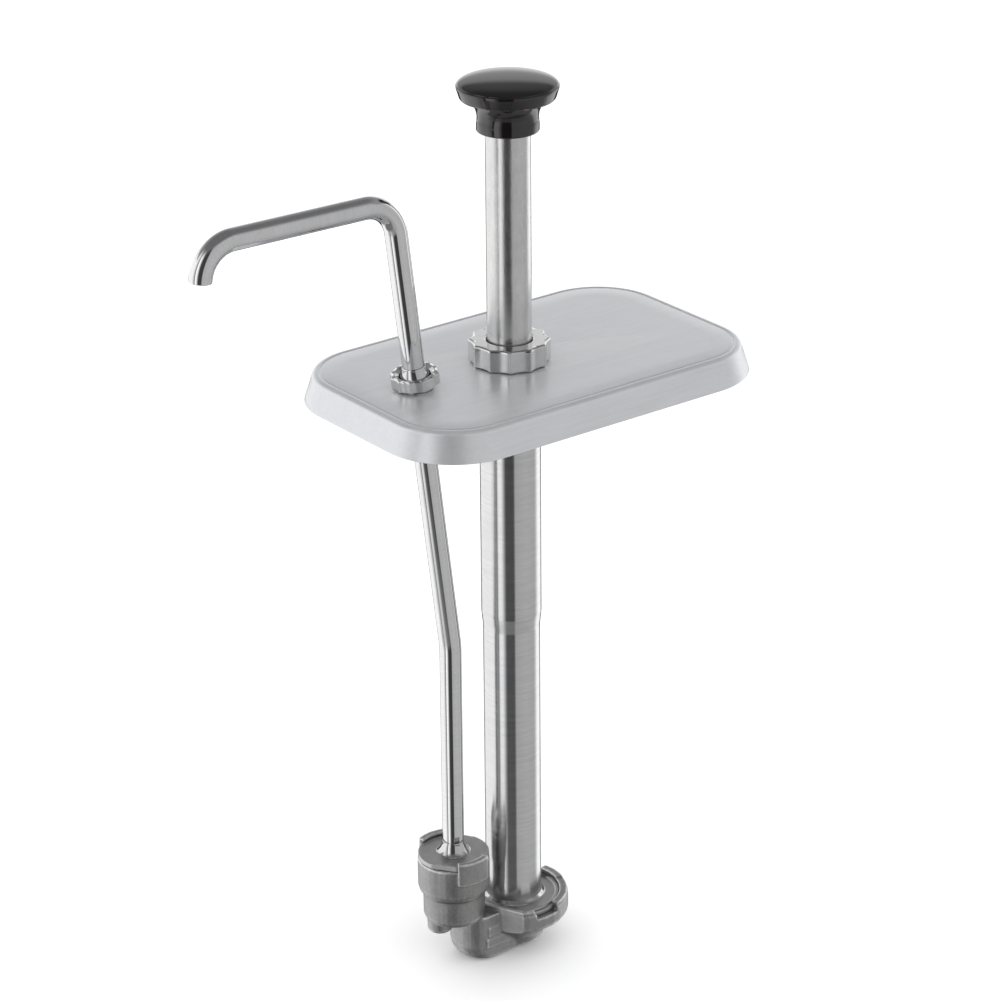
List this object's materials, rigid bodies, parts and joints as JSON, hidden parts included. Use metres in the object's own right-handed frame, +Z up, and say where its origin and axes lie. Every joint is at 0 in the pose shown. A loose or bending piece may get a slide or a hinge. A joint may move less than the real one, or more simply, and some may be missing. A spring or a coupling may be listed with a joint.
{
  "type": "condiment pump dispenser",
  "caption": "Lid-mounted stainless condiment pump: sprung plunger with a dark knob, stepped cylinder, cast valve body with two check balls and a bent discharge tube with down-turned spout.",
  "frame": {"origin": "middle of the lid's underside, the plane that rests on the jar's rim", "axes": "+Z up along the plunger; +X along the lid's long side, away from the spout; +Y to the lid's far long side"},
  "size_m": [0.3448, 0.1554, 0.5399],
  "materials": {
    "stainless_tube": "bright stainless tube and bar, fine lengthwise brushing",
    "polished_stainless": "polished stainless",
    "satin_sheet": "satin stainless sheet",
    "blasted_casting": "matt bead-blasted stainless casting",
    "dark_phenolic": "glossy dark brown-black phenolic",
    "seal_rubber": "black food-grade rubber",
    "white_acetal": "white acetal",
    "spring_wire": "drawn stainless spring wire"
  },
  "bodies": {
    "pump_body": {"ball_cage": "stainless_tube", "cylinder": "stainless_tube", "cylinder_flange": "stainless_tube", "cylinder_o_ring": "seal_rubber", "cylinder_top_fitting": "stainless_tube", "discharge_tube": "stainless_tube", "intake_seat_plug": "stainless_tube", "lid": "satin_sheet", "lock_collar": "polished_stainless", "plunger_bushing": "white_acetal", "return_spring": "spring_wire", "spout_bushing": "stainless_tube", "spout_ferrule": "polished_stainless", "spout_nut": "polished_stainless", "spout_seal": "seal_rubber", "spring_seat_washer": "stainless_tube", "tube_flange": "stainless_tube", "tube_o_ring": "seal_rubber", "valve_body": "blasted_casting"},
    "plunger": {"knob": "dark_phenolic", "knob_stud": "stainless_tube", "plunger_tube": "stainless_tube", "spring_shoulder": "stainless_tube", "plunger_end_fitting": "stainless_tube", "piston_washer": "stainless_tube", "piston_seal": "seal_rubber", "piston_body": "white_acetal", "piston_nut": "stainless_tube"},
    "discharge_check": {"discharge_ball": "polished_stainless"},
    "intake_check": {"intake_ball": "polished_stainless"}
  },
  "joints": [
    {"name": "plunger_slide", "type": "slide", "parent": "pump_body", "child": "plunger", "axis": [0, 0, -1], "range_m": [0, 0.11], "stiffness_N_per_m": 300, "springref_m": -0.03, "deforming": ["return_spring"]},
    {"name": "discharge_ball_lift", "type": "slide", "parent": "pump_body", "child": "discharge_check", "axis": [0, 0, 1], "range_m": [0, 0.004]},
    {"name": "intake_ball_lift", "type": "slide", "parent": "pump_body", "child": "intake_check", "axis": [0, 0, 1], "range_m": [0, 0.004]}
  ]
}
